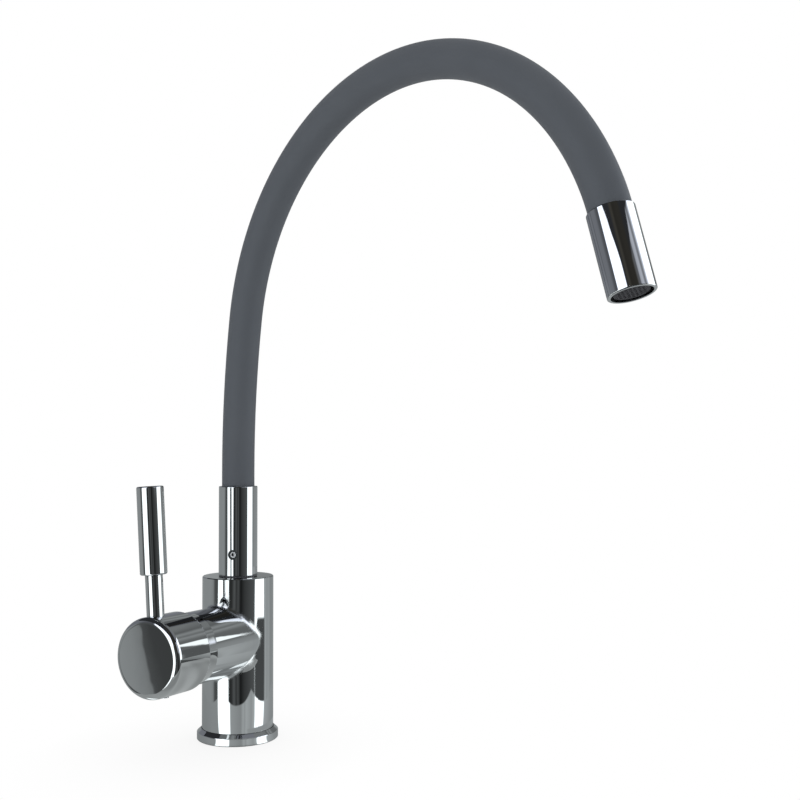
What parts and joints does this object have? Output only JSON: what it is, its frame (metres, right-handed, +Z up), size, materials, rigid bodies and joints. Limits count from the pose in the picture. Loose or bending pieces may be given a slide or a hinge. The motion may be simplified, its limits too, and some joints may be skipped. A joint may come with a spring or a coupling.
{
  "type": "kitchen mixer tap",
  "caption": "Single-lever kitchen mixer tap with a side handle and a bendable gooseneck spout that swivels on its column.",
  "frame": {"origin": "centre of the underside of the foot, on the column's axis", "axes": "+Z up the column, +X the way the spout reaches at rest, the valve branch and handle at 71 degrees from it on the -Y side"},
  "size_m": [0.3398, 0.1111, 0.3928],
  "materials": {
    "chrome": "polished chrome plate",
    "handle_chrome": "polished chrome plate, face lightly satin",
    "screw_steel": "bright zinc-plated steel",
    "silicone": "matt slate-grey silicone",
    "brass": "turned brass",
    "arm_metal": "plain turned aluminium",
    "tube_plastic": "natural polyethylene",
    "cartridge_plastic": "moulded plastic",
    "ceramic": "lapped ceramic",
    "black_rubber": "black rubber",
    "washer_plastic": "dark slide plastic",
    "aerator_plastic": "dark grey moulded plastic"
  },
  "bodies": {
    "tap_body": {"column_body": "chrome", "base_flange": "chrome", "base_gasket": "black_rubber", "cartridge_base": "cartridge_plastic", "port_seals": "black_rubber", "fixed_disc": "ceramic", "cartridge_housing": "cartridge_plastic", "cartridge_nut": "brass", "dome_ring": "chrome", "spout_nipple": "brass", "nipple_o_rings": "black_rubber", "swivel_washer": "washer_plastic"},
    "temperature_rotor": {"cartridge_rotor": "cartridge_plastic", "lever_pin": "screw_steel"},
    "mixing_disc": {"moving_disc": "ceramic", "disc_carrier": "cartridge_plastic"},
    "handle": {"handle_cap": "handle_chrome", "lever_stem": "chrome", "lever_grip": "chrome", "handle_grub_screw": "screw_steel", "cartridge_spindle": "brass"},
    "spout_foot": {"spout_sleeve": "chrome", "sleeve_grub_screw": "screw_steel", "lower_ferrule": "brass", "arm_root_link": "arm_metal", "hose_cover": "silicone", "water_tube": "tube_plastic"},
    "arm_1": {"arm_link_1": "arm_metal"},
    "arm_2": {"arm_link_2": "arm_metal"},
    "arm_3": {"arm_link_3": "arm_metal"},
    "spray_head": {"arm_tip_link": "arm_metal", "head_shell": "chrome", "upper_ferrule": "brass", "aerator_washer": "black_rubber", "aerator_housing": "aerator_plastic", "aerator_insert": "aerator_plastic", "aerator_face": "aerator_plastic"}
  },
  "joints": [
    {"name": "spout_swivel", "type": "hinge", "parent": "tap_body", "child": "spout_foot", "pos_m": [0, 0, 0.1], "axis": [0, 0, 1], "continuous": true},
    {"name": "temperature", "type": "hinge", "parent": "tap_body", "child": "temperature_rotor", "pos_m": [0.01465, -0.04255, 0.0615], "axis": [0.3256, -0.9455, 0], "range_deg": [-53.7, 46.3]},
    {"name": "flow", "type": "hinge", "parent": "temperature_rotor", "child": "handle", "pos_m": [0.01465, -0.04255, 0.0615], "axis": [0.9435, 0.3249, 0.0645], "range_deg": [0, 25]},
    {"name": "disc_travel", "type": "slide", "parent": "temperature_rotor", "child": "mixing_disc", "axis": [-0.061, -0.021, 0.9979], "range_m": [0, 0.00511]},
    {"name": "bend_1", "type": "hinge", "parent": "spout_foot", "child": "arm_1", "pos_m": [0.00782, 0, 0.25978], "axis": [0, 1, 0], "range_deg": [-15, 15], "deforming": ["hose_cover", "water_tube"]},
    {"name": "bend_2", "type": "hinge", "parent": "arm_1", "child": "arm_2", "pos_m": [0.0512, 0, 0.3412], "axis": [0, 1, 0], "range_deg": [-15, 15]},
    {"name": "bend_3", "type": "hinge", "parent": "arm_2", "child": "arm_3", "pos_m": [0.13896, 0, 0.38184], "axis": [0, 1, 0], "range_deg": [-15, 15]},
    {"name": "bend_4", "type": "hinge", "parent": "arm_3", "child": "spray_head", "pos_m": [0.2283, 0, 0.36342], "axis": [0, 1, 0], "range_deg": [-15, 15]}
  ],
  "couplings": [
    {"joint": "disc_travel", "follows": "flow", "m_per_rad": 0.0117}
  ]
}
